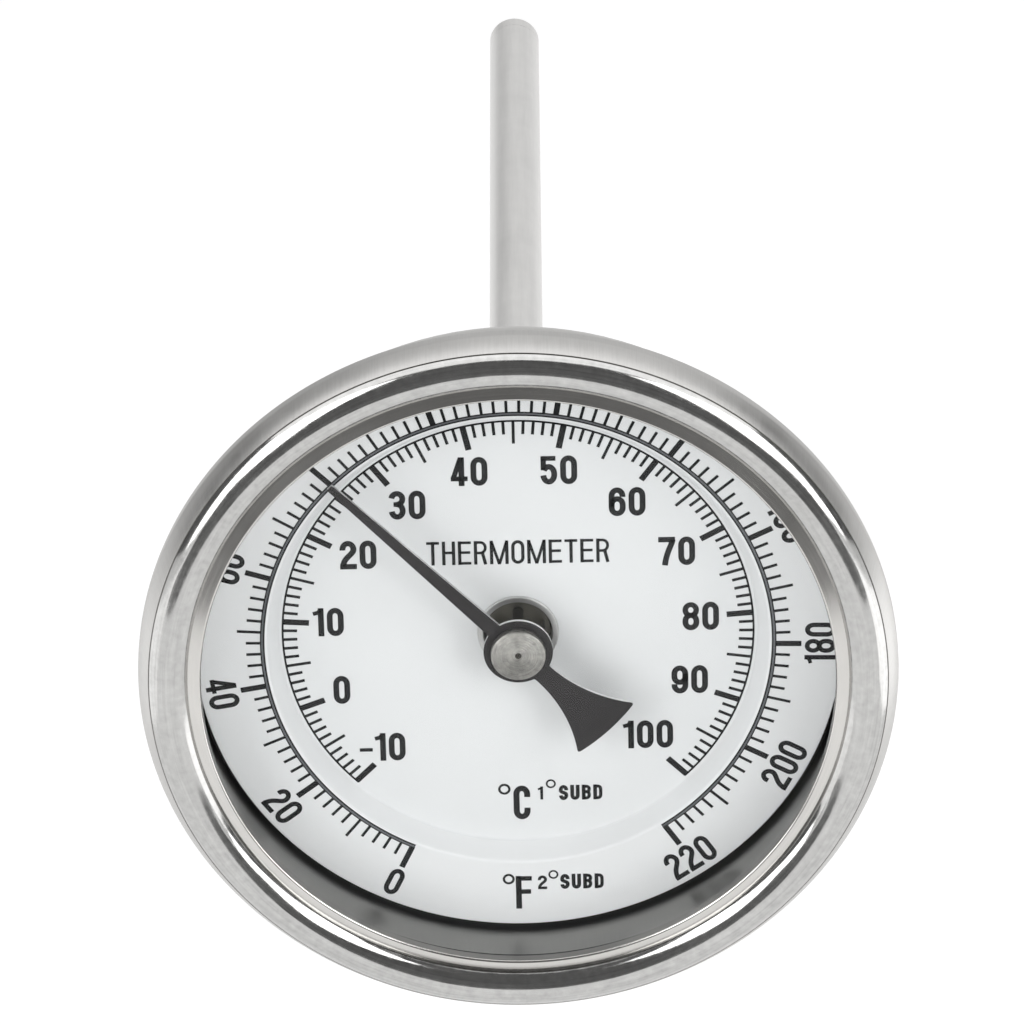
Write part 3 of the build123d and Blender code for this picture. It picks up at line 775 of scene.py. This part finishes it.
def strokes(letter, w, t):
    """(points, width, closed) bands of one character in a box w wide and 1 high, with stroke width t."""
    left, right, middle = t / 2, w - t / 2, w / 2
    low, high = t / 2, 1 - t / 2
    half = (right - left) / 2
    bow = min(0.21, half * 1.25)
    thin = t * 0.88
    loop = ellipse(middle, high - bow, half, bow, 0, 180) + ellipse(middle, low + bow, half, bow, 180, 360)

    def bowl(y0, y1):
        ry = min((y1 - y0) / 2, half * 1.15)
        return ellipse(middle, y1 - ry, half, ry, 0, 180) + ellipse(middle, y0 + ry, half, ry, 180, 360)

    if letter in "0O":
        return [(loop, t, True)]
    if letter == "1":
        x = w - t / 2
        flag = [(x - t * 1.35, 0.80), (x - t * 0.5, 0.84), (x, 0.93)]
        return [([(x, 0), (x, 1)], t, False), (flag, thin * 0.85, False)]
    if letter == "2":
        top = ellipse(middle, high - bow, half, bow, 188, 0)
        fall = bezier((right, high - bow), (right, 0.52), (left + 0.02, 0.42), (left + 0.01, t * 0.6))
        return [(top + fall[1:], t, False), ([(0, low), (w, low)], t, False)]
    if letter == "3":
        waist = 0.53
        upper = ellipse(middle, (high + waist) / 2, half, (high - waist) / 2, 172, -90)
        lower = ellipse(middle, (low + waist) / 2, half, (waist - low) / 2, 90, -172)
        bar = [(middle - t * 0.6, waist), (middle + t * 0.3, waist)]
        return [(upper, t, False), (lower, t, False), (bar, thin, False)]
    if letter == "4":
        x = w - t * 1.05
        return [
            ([(x, 0), (x, 1)], t, False),
            ([(0, 0.25), (w, 0.25)], thin, False),
            ([(t * 0.42, 0.25), (x - t * 0.1, 0.985)], thin, False),
        ]
    if letter == "5":
        top = 0.62
        bend = ellipse(middle, (top + low) / 2, half, (top - low) / 2, 150, -172, 20)
        return [
            ([(left - t * 0.35, high), (w - t * 0.25, high)], thin, False),
            ([(left + t * 0.05, 1 - t * 0.1), (left + t * 0.05, 0.5)], t * 0.92, False),
            (bend, t, False),
        ]
    if letter in "69":
        hook = ellipse(middle, high - bow, half, bow, -8, 180) + [(left, low + bow)]
        shape = [(hook, t, False), (bowl(low, 0.60), t, True)]
        if letter == "9":
            shape = [([(w - x, 1 - y) for x, y in band], width, closed) for band, width, closed in shape]
        return shape
    if letter == "7":
        foot = (middle - t * 0.35, 0)
        fall = bezier((right + t * 0.1, 1 - t * 0.5), (right - 0.02, 0.70), (middle - t * 0.1, 0.45), foot)
        return [([(0, high), (w, high)], t, False), (fall, t, False)]
    if letter == "8":
        waist = 0.53
        return [(bowl(waist, high), t * 0.96, True), (bowl(low, waist), t, True)]
    if letter == "T":
        return [([(0, high), (w, high)], thin, False), ([(middle, 0), (middle, 1)], t, False)]
    if letter == "H":
        uprights = [([(x, 0), (x, 1)], t, False) for x in (left, right)]
        return uprights + [([(left, 0.52), (right, 0.52)], thin, False)]
    if letter in "EF":
        bars = [([(left, 0), (left, 1)], t, False), ([(left, high), (w, high)], thin, False)]
        bars.append(([(left, 0.52), (w * 0.94, 0.52)], thin, False))
        if letter == "E":
            bars.append(([(left, low), (w, low)], thin, False))
        return bars
    if letter == "R":
        waist = 0.49
        ry = (high - waist) / 2
        x = right - min(half, ry)
        bend = [(left, high)] + ellipse(x, high - ry, right - x, ry, 90, -90) + [(left, waist)]
        leg = [(right - t * 0.9, waist), (right, 0)]
        return [([(left, 0), (left, 1)], t, False), (bend, thin, False), (leg, t, False)]
    if letter == "M":
        return [
            ([(left, 0), (left, 1)], t, False),
            ([(right, 0), (right, 1)], t, False),
            ([(left, 0.97), (middle, 0.0)], thin, False),
            ([(right, 0.97), (middle, 0.0)], thin, False),
        ]
    if letter == "C":
        bend = [(right, 0.66)] + ellipse(middle, high - bow, half, bow, 0, 180)
        bend += ellipse(middle, low + bow, half, bow, 180, 360) + [(right, 0.34)]
        return [(bend, t, False)]
    if letter == "S":
        ry = 0.215
        upper = ellipse(middle, high - ry, half, ry, -5, 180) + [(left, 0.62)]
        centre = bezier((left, 0.64), (left, 0.50), (right, 0.50), (right, 0.34))
        lower = ellipse(middle, low + ry, half, ry, 0, -175)
        return [(upper + centre[1:] + lower, t, False)]
    if letter == "U":
        bend = [(left, 1)] + ellipse(middle, low + bow, half, bow, 180, 360) + [(right, 1)]
        return [(bend, t, False)]
    if letter == "B":
        out = [([(left, 0), (left, 1)], t, False)]
        for y0, y1 in ((0.53, high), (low, 0.53)):
            ry = (y1 - y0) / 2
            x = right - min(half, ry)
            bend = [(left, y1)] + ellipse(x, y1 - ry, right - x, ry, 90, -90) + [(left, y0)]
            out.append((bend, thin, False))
        return out
    if letter == "D":
        bend = [(left, high)] + ellipse(right - half, high - bow, half, bow, 90, 0)
        bend += ellipse(right - half, low + bow, half, bow, 0, -90) + [(left, low)]
        return [([(left, 0), (left, 1)], t, False), (bend, thin, False)]
    raise ValueError(letter)


def letter_width(letter, width):
    """Width of a letter's box, where width is the usual one."""
    return width * {"1": 0.66, "M": 1.42, "T": 0.98}.get(letter, 1.0)


def print_text(bm, text, x, z, height, width, gap, weight, y_face, tilt=0.0):
    """Print text centred on (x, z), its top turned tilt degrees clockwise from 12 o'clock."""
    total = sum(letter_width(c, width) for c in text) + gap * (len(text) - 1)
    turn = math.radians(tilt)
    right = (math.cos(turn), -math.sin(turn))
    up = (math.sin(turn), math.cos(turn))
    pen = -total / 2
    for c in text:
        w = letter_width(c, width)
        for points, stroke, closed in strokes(c, w / height, weight / height):
            placed = []
            for px, py in points:
                a, b = pen + px * height, (py - 0.5) * height
                placed.append((x + right[0] * a + up[0] * b, z + right[1] * a + up[1] * b))
            ribbon(bm, placed, stroke * height, y_face - INK_T, INK_T, closed)
        pen += w + gap


def print_degree(bm, x, z, radius, weight, y_face):
    """Print a degree sign centred on (x, z)."""
    points = [(x + radius * math.sin(TAU * s / 36), z + radius * math.cos(TAU * s / 36)) for s in range(36)]
    ribbon(bm, points, weight, y_face - INK_T, INK_T, True)


CELSIUS_PLACES = {               # centres of the inner scale's upright numerals
    0: (-19.70, -6.83),
    10: (-20.91, 1.70),
    20: (-17.36, 9.97),
    30: (-11.81, 15.98),
    40: (-4.93, 19.94),
    50: (4.86, 19.91),
    60: (12.27, 15.86),
    70: (17.63, 9.65),
    80: (20.18, 1.51),
    90: (18.88, -6.40),
    100: (14.17, -13.23),
}


def build_lettering():
    bm = bmesh.new()
    digit = dict(height=3.5, width=1.85, gap=0.33, weight=0.64, y_face=DIAL_Y)
    word = dict(height=2.9, width=1.44, gap=0.31, weight=0.36, y_face=DIAL_Y)
    unit = dict(height=4.3, width=1.88, gap=0, weight=0.68, y_face=DIAL_Y)
    step = dict(height=1.65, width=0.9, gap=0, weight=0.31, y_face=DIAL_Y)
    note = dict(height=1.9, width=1.04, gap=0.24, weight=0.42, y_face=DIAL_Y)
    for value, (x, z) in CELSIUS_PLACES.items():
        print_text(bm, str(value), x, z, **digit)
    print_text(bm, "10", -14.55, -14.16, **digit)
    ribbon(bm, [(-17.95, -14.5), (-16.5, -14.5)], 0.42, DIAL_Y - INK_T, INK_T)      # its minus sign
    print_text(bm, "THERMOMETER", 0.19, 9.93, **word)
    print_text(bm, "C", -0.04, -21.61, **unit)
    print_degree(bm, -1.97, -19.87, 0.56, 0.26, DIAL_Y)
    print_text(bm, "1", 2.05, -20.45, **step)
    print_degree(bm, 3.23, -19.29, 0.46, 0.20, DIAL_Y)
    print_text(bm, "SUBD", 6.55, -20.45, **note)
    finish_mesh("print_inner_lettering", bm, "dial", "dial_paint", [INK])

    bm = bmesh.new()
    digit = dict(height=3.4, width=1.72, gap=0.30, weight=0.54, y_face=RIM_Y)
    unit = dict(height=4.2, width=1.80, gap=0, weight=0.64, y_face=RIM_Y)
    step = dict(height=1.75, width=1.02, gap=0, weight=0.32, y_face=RIM_Y)
    note["y_face"] = RIM_Y
    numeral_r = 33.25
    for value in range(0, 221, 20):
        clock = fahrenheit_angle(value)
        tilt = clock if 40 < value < 180 else clock + 180.0      # the lower ones turn their tops inward
        print_text(bm, str(value), *at_clock(numeral_r, clock), tilt=tilt, **digit)
    print_text(bm, "F", -0.03, -31.63, **unit)
    print_degree(bm, -1.71, -29.90, 0.54, 0.26, RIM_Y)
    print_text(bm, "2", 2.06, -30.40, **step)
    print_degree(bm, 3.30, -29.41, 0.46, 0.20, RIM_Y)
    print_text(bm, "SUBD", 6.50, -30.34, **note)
    finish_mesh("print_outer_lettering", bm, "dial", "dial_paint", [INK])


# ---------------------------------------------------------------- pointer
def build_pointer():
    """Black hand: tapering needle, ring boss and a tail that flares like a fan."""
    front, back = hand_low.y, hand_high.y
    tip_r, half_tip, half_root = 28.8, 0.42, 0.85
    boss_r = 3.82
    neck, flank, corner = (1.15, -3.2), (1.95, -8.9), (4.42, -13.62)    # down the tail's right side
    tail_bulge, corner_r = 0.42, 0.42
    edge_break = 0.03                # round along the edges of both faces
    side = arc_points(neck, flank, corner, 24)[:-1]
    low_end = arc_points(corner, (0.0, corner[1] - tail_bulge), (-corner[0], corner[1]), 20)[1:]
    turn_from, turn_to = (
        Vector(corner) + (Vector(beside) - Vector(corner)).normalized() * corner_r
        for beside in (side[-1], low_end[0])
    )
    side += [curve(turn_from, Vector(corner), turn_to, s / 5) for s in range(6)]
    first = math.degrees(math.asin(half_root / boss_r))
    last = 180 - math.degrees(math.asin(neck[0] / boss_r))
    boss = [at_clock(boss_r, first + (last - first) * s / 26) for s in range(27)]
    right = [(half_tip - 0.12, tip_r), (half_tip, tip_r - 0.3)] + boss + side[1:]
    left = [(-x, z) for x, z in reversed(right)]
    turn = math.radians(REST_ANGLE)
    outline = [
        (x * math.cos(turn) + z * math.sin(turn), z * math.cos(turn) - x * math.sin(turn))
        for x, z in right + low_end[:-1] + left
    ]
    bm = bmesh.new()
    prism(bm, outline, front, back - front)
    rim = [e for e in bm.edges if abs(e.verts[0].co.y - e.verts[1].co.y) < 1e-9]
    bmesh.ops.bevel(bm, geom=rim, offset=edge_break * MM, segments=2, affect="EDGES", clamp_overlap=True)
    bm.normal_update()
    for face in bm.faces:
        is_cut_side = abs(face.normal.y) < 0.2
        face.material_index = 1 if is_cut_side else 0
    return finish_mesh(
        "hand", bm, "indicator", "pointer_paint", [BLACK, CUT_EDGE], sharp=40.0, replaces=("pointer",),
    )


def build_hub():
    """Turned cap with fine facing marks, a centre pit painted dark as shade, a speckled rim wall darkened as
    painted shade, and the sleeve behind it.
    """
    cap, seat = hub_high.x, hand_low.y
    front = hub_low.y - 0.12         # the cap stands a little prouder than the solid
    pit_r, sleeve, bore = 0.36, 1.6, 0.6
    foot, foot_height = cap - 0.2, 0.2
    first_mark, mark_pitch = 0.45, 0.27
    face = [(0, 0.32), (0.14, 0.30), (pit_r - 0.06, 0.10), (pit_r, 0.03)]     # radius, depth from the front
    for k in range(9):
        r = first_mark + k * mark_pitch
        face += [(r, 0.012), (r + 0.19, 0), (r + 0.23, 0.03)]
    face += [(cap - 0.14, 0.01), (cap - 0.05, 0.05), (cap - 0.03, 0.10), (cap, 0.14)]
    face += [(cap, 0.34), (cap - 0.05, 0.38), (cap, 0.42)]
    outline = [(r, front + depth) for r, depth in face]
    outline += [(cap, seat - foot_height), (foot, seat - foot_height), (foot, seat), (sleeve, seat)]
    outline += [(sleeve, hub_high.y), (bore, hub_high.y), (bore, seat), (0, seat)]
    turned, pit, shaded_rim = range(3)

    def zone(a, b):
        # the centre pit takes the near-black nickel, as painted shade
        if max(a[0], b[0]) <= pit_r and max(a[1], b[1]) < seat:
            return pit
        # the rim wall behind the cap takes the darkened nickel, as painted shade of the undercut
        on_rim = min(a[0], b[0]) > foot - 0.01 and min(a[1], b[1]) > front + 0.04
        return shaded_rim if on_rim and max(a[1], b[1]) <= seat else turned

    return lathe(
        "hand_hub", outline, "indicator", "hub_nickel", [NICKEL, HUB_PIT_PAINTED_SHADE, HUB_RIM_PAINTED_SHADE], 160, zone, sharp=40.0,
        replaces=("pointer_hub",),
    )


build_bezel()
build_stem()
build_connector()
build_dial()
build_dial_ring()
build_scales()
build_lettering()
build_pointer()
build_hub()

CAD_FINISH = {
    "case_cup": CASE,
    "window_glass": GLASS,
    "front_gasket": RUBBER,
    "rear_gasket": RUBBER,
    "reset_seal": RUBBER,
    "dial_sector": BRASS,
    "reset_pinion": BRASS,
    "dial_spring_washer": SPRING,
    "reset_clip": SPRING,
    "bearing_post": BRASS_PAINTED_SHADE,
    "reset_bush": BRASS_PAINTED_SHADE,
    "upper_bush": BRASS_PAINTED_SHADE,
    "lower_bush": BRASS_PAINTED_SHADE,
    "coil_collet": BRASS_PAINTED_SHADE,
    "coil_anchor": BRASS_PAINTED_SHADE,
    "reset_screw": THREAD,
    "pointer_shaft": SHAFT,
    "bimetal_coil": SPRING,
}
for name, mat in CAD_FINISH.items():
    slots = nodes[name].data.materials
    if len(slots) == 0:
        slots.append(mat)
    for k in range(len(slots)):
        slots[k] = mat


# ---------------------------------------------------------------- floor, light, camera
FLOOR_Z = -0.11
FLOOR_LIGHT = 0.68
BACKDROP = 0.92                  # the plain pale wall behind the floor, which only the camera sees
ROOM_TILT = 25.0                 # elevation of the middle of the room's dark opening
ROOM_LIGHT = 0.16
WALL_LIGHT = 0.85
CROWN_LIGHT = 1.0
LEFT_SHARE = 0.68                # how much of its light the left wall keeps
# Where the room changes, as cosines of the angle to a direction.
BEHIND_EDGE = (-0.30, -0.15)     # from the middle of the opening
OPENING_EDGE = (0.62, 0.72)      # from straight above or below the opening
CROWN_EDGE = (0.80, 0.97)        # from the zenith
LEFT_EDGE = (-0.45, -0.10)       # from the right


def stage_cloth(name, grain, detail, low, high, light):
    """Plain cloth or paper, between two greys, that gives off some light of its own."""
    mat, tree, bsdf = new_material(name)
    weave = noise(tree, place_on_object(tree), grain, detail)
    tree.links.new(ramp(tree, weave, [(0.3, grey(low)), (0.7, grey(high))]), bsdf.inputs["Base Color"])
    bsdf.inputs["Emission Color"].default_value = (1, 1, 1, 1)
    bsdf.inputs["Emission Strength"].default_value = light
    return mat, bsdf


def stage_sheet(name, mat, parts, half_size):
    """A flat square of the stage, which is no part of the object."""
    bm = bmesh.new()
    bmesh.ops.create_grid(bm, x_segments=parts, y_segments=parts, size=half_size)
    mesh = bpy.data.meshes.new(name)
    bm.to_mesh(mesh)
    bm.free()
    mesh.materials.append(mat)
    sheet = bpy.data.objects.new(name, mesh)
    bpy.context.scene.collection.objects.link(sheet)
    sheet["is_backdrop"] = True
    return sheet


def build_floor():
    mat, bsdf = stage_cloth("floor_paper", 40.0, 3.0, 0.43, 0.45, FLOOR_LIGHT)
    bsdf.inputs["Roughness"].default_value = 0.9
    bsdf.inputs["Specular IOR Level"].default_value = 0.1
    floor = stage_sheet("floor", mat, 8, 6.0)
    floor.location = (0, 0, FLOOR_Z)


def build_card(name, place, tilt, turn, width, height, light):
    """A studio card met only by reflections: a dark flag or a pale bounce."""
    mat, _ = stage_cloth(name + "_cloth", 400.0, 2.0, 0.03, 0.05, light)
    card = stage_sheet(name, mat, 4, 0.5)
    card.location = place
    card.rotation_euler = (math.radians(tilt), 0, math.radians(turn))
    card.scale = (width, height, 1)
    card.visible_camera = False
    card.visible_diffuse = False
    card.visible_shadow = False
    card.visible_transmission = False


def build_world():
    """A pale surround, open and dark in front where the camera stands, brighter overhead."""
    world = bpy.data.worlds.new("studio")
    bpy.context.scene.world = world
    world.use_nodes = True
    tree = world.node_tree
    back = tree.nodes["Background"]
    direction = node(tree, "ShaderNodeTexCoord").outputs["Generated"]
    tilt = math.radians(ROOM_TILT)

    def along(axis):
        product = node(tree, "ShaderNodeVectorMath", operation="DOT_PRODUCT")
        product.inputs[1].default_value = axis
        tree.links.new(direction, product.inputs[0])
        return product.outputs["Value"]

    def blend(share, low, high):
        gap = maths(tree, "SUBTRACT", high, low)
        return maths(tree, "ADD", low, maths(tree, "MULTIPLY", share, gap))

    behind = ranged(tree, along((0, -math.cos(tilt), math.sin(tilt))), *BEHIND_EDGE, 1.0, 0.0)
    off_level = maths(tree, "ABSOLUTE", along((0, math.sin(tilt), math.cos(tilt))))
    above = ranged(tree, off_level, *OPENING_EDGE, 0.0, 1.0)
    pale = maths(tree, "MAXIMUM", behind, above)
    crown = ranged(tree, along((0, 0, 1)), *CROWN_EDGE, WALL_LIGHT, CROWN_LIGHT)
    left = ranged(tree, along((1, 0, 0)), *LEFT_EDGE, LEFT_SHARE, 1.0)
    level = blend(pale, ROOM_LIGHT, maths(tree, "MULTIPLY", crown, left))
    seen = node(tree, "ShaderNodeLightPath").outputs["Is Camera Ray"]
    tree.links.new(blend(seen, level, BACKDROP), back.inputs["Strength"])
    back.inputs["Color"].default_value = (1, 1, 1, 1)


def softbox(name, place, width, height, power):
    """A rectangular lamp turned towards the dial."""
    light = bpy.data.lights.new(name, "AREA")
    light.shape = "RECTANGLE"
    light.size = width
    light.size_y = height
    light.energy = power
    obj = bpy.data.objects.new(name, light)
    obj.location = place
    obj.rotation_euler = (Vector(AIM) - Vector(place)).to_track_quat("-Z", "Y").to_euler()
    bpy.context.scene.collection.objects.link(obj)
    return obj


CAM_AZ, CAM_EL, CAM_ROLL = 0.525, 27.08, -1.43       # degrees
CAM_DISTANCE = 0.78751
CAM_TARGET = (-0.000343, -0.015, 0.014867)
CAM_SENSOR, CAM_LENS = 36.0, 252.886     # millimetres


def build_camera():
    az, el, roll = (math.radians(v) for v in (CAM_AZ, CAM_EL, CAM_ROLL))
    toward = Vector((math.sin(az) * math.cos(el), -math.cos(az) * math.cos(el), math.sin(el)))
    right = (-toward).cross(Vector((0, 0, 1))).normalized()
    up = right.cross(-toward)
    tilted_right = right * math.cos(roll) + up * math.sin(roll)
    tilted_up = up * math.cos(roll) - right * math.sin(roll)
    place = Vector(CAM_TARGET) + toward * CAM_DISTANCE
    camera = bpy.data.cameras.new("camera")
    camera.sensor_width = CAM_SENSOR
    camera.lens = CAM_LENS
    camera.clip_start = 0.01
    obj = bpy.data.objects.new("camera", camera)
    columns = Matrix((tilted_right, tilted_up, toward)).transposed()
    obj.matrix_world = Matrix.Translation(place) @ columns.to_4x4()
    bpy.context.scene.collection.objects.link(obj)
    bpy.context.scene.camera = obj


build_floor()
build_camera()
build_world()

AIM = (0, -0.02, 0)
LAMP_POWER = 4.4
softbox("softbox_left", (-0.615, -0.59, 0.30), 0.54, 0.66, LAMP_POWER)
softbox("softbox_right", (0.615, -0.59, 0.30), 0.54, 0.66, LAMP_POWER)
fill = softbox("fill", (0.0, -1.1, 0.55), 1.3, 1.0, LAMP_POWER)
fill.visible_glossy = False

FLAG_LIGHT = ROOM_LIGHT * 0.7
CARDS = (                        # name, place, tilt, turn, width, height, light
    ("flag", (0, -0.62, FLOOR_Z + 0.1), 90.0, 0.0, 1.15, 0.2, FLAG_LIGHT),
    ("apron", (0, -0.50, FLOOR_Z + 0.002), 0.0, 0.0, 1.15, 0.40, FLAG_LIGHT),
    ("bounce_right", (0.20, -0.03, FLOOR_Z + 0.045), 90.0, 90.0, 0.26, 0.09, 2.0),
    ("bounce_left", (-0.20, -0.03, FLOOR_Z + 0.045), 90.0, 90.0, 0.26, 0.09, 1.45),
    ("canopy", (0.0, -0.0625, 0.105), 0.0, 0.0, 0.30, 0.065, 1.6),
)
for card in CARDS:
    build_card(*card)

scene = bpy.context.scene
scene.view_settings.view_transform = "Standard"
scene.view_settings.look = "None"
scene.view_settings.exposure = 0.0
scene.view_settings.gamma = 1.0


def plain(value):
    """Nested plain lists of numbers from vectors or tuples."""
    if isinstance(value, (int, float)):
        return float(value)
    return [plain(v) for v in value]


{"cad": plain(cad_box), "visual": plain(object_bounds())}
